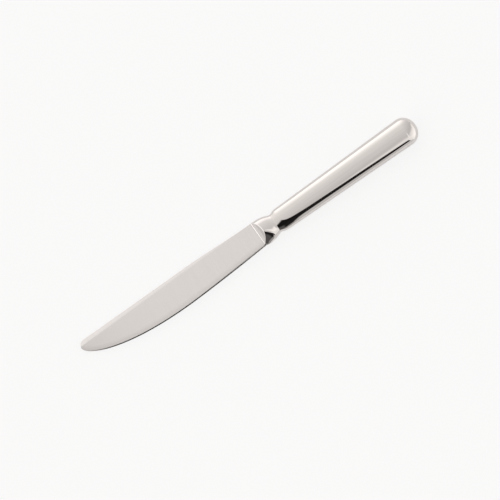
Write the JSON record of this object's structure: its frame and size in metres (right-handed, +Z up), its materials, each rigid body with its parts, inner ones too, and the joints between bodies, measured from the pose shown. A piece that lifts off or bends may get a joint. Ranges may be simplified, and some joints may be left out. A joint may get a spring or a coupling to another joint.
{
  "type": "salad knife",
  "caption": "Small table knife for salad or dessert: round-nosed ground blade, forged bolster and a plump oval hollow handle with a rounded butt, all in polished steel.",
  "frame": {"origin": "under the middle of the box round the knife, at its lowest level as it lies on its side", "axes": "+X from the tip to the butt along the handle's axis, +Y towards the spine, +Z up out of the blade's upper face"},
  "size_m": [0.21, 0.0176, 0.0112],
  "materials": {
    "blade_steel": "satin ground faces, mirror-polished bolster",
    "handle_steel": "mirror polish with fine lengthwise hairlines",
    "braze": "filed flush and polished",
    "cement": "matt filling, never seen"
  },
  "bodies": {
    "root": {"blade": "blade_steel", "handle_shell_upper": "handle_steel", "handle_shell_lower": "handle_steel", "handle_seam_braze": "braze", "handle_cement": "cement"}
  },
  "joints": []
}
